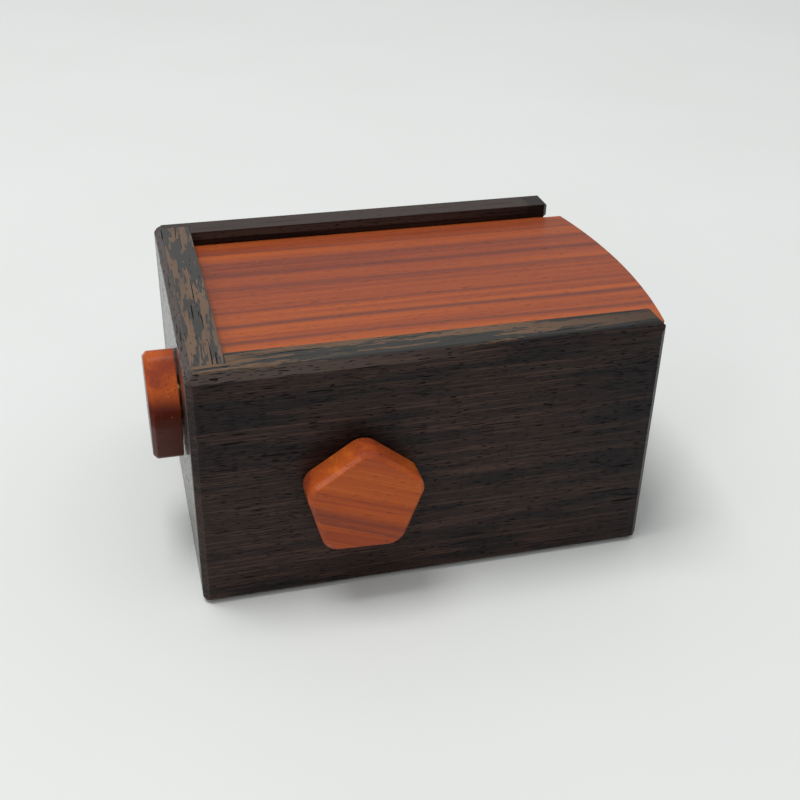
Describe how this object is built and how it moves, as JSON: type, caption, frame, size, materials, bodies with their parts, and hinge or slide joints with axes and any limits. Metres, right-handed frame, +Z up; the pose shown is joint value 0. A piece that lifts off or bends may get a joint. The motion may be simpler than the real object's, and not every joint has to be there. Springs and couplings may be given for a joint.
{
  "type": "wooden puzzle box",
  "caption": "Rectangular dark wood puzzle box with a recessed sliding lid that knob-turned locking discs release.",
  "frame": {"origin": "middle of the carcass's underside, on the surface that it stands on", "axes": "+X along the carcass towards the lid's open end, +Y from the front board with a knob to the back board, +Z up"},
  "size_m": [0.1362, 0.1022, 0.067],
  "materials": {
    "wenge": "satin lacquer",
    "padauk": "satin lacquer",
    "padauk_knob": "gloss lacquer",
    "maple": "sanded",
    "brass": "turned",
    "steel": "plain"
  },
  "bodies": {
    "carcass": {"front_panel": "wenge", "back_panel": "wenge", "left_panel": "wenge", "right_panel": "wenge", "bottom_panel": "wenge", "front_liner": "maple", "left_liner": "maple", "left_bearing_block": "maple", "panel_magnets": "steel"},
    "lid": {"lid": "padauk", "front_catch_block": "padauk", "left_catch_block": "padauk", "catch_dowels": "maple"},
    "front_lock": {"front_knob": "padauk_knob", "front_shaft": "maple", "front_outer_washer": "brass", "front_inner_washer": "brass", "front_disc": "padauk", "front_disc_pin": "steel", "front_disc_magnets": "steel"},
    "left_lock": {"left_knob": "padauk_knob", "left_shaft": "maple", "left_outer_washer": "brass", "left_inner_washer": "brass", "left_disc": "padauk", "left_disc_pin": "steel", "left_disc_magnets": "steel"}
  },
  "joints": [
    {"name": "lid_slide", "type": "slide", "parent": "carcass", "child": "lid", "axis": [1, 0, 0], "range_m": [0, 0.0875]},
    {"name": "front_knob_turn", "type": "hinge", "parent": "carcass", "child": "front_lock", "pos_m": [-0.0193, -0.047, 0.0303], "axis": [0, 1, 0], "continuous": true},
    {"name": "left_knob_turn", "type": "hinge", "parent": "carcass", "child": "left_lock", "pos_m": [-0.06, -0.013, 0.042], "axis": [1, 0, 0], "continuous": true}
  ]
}
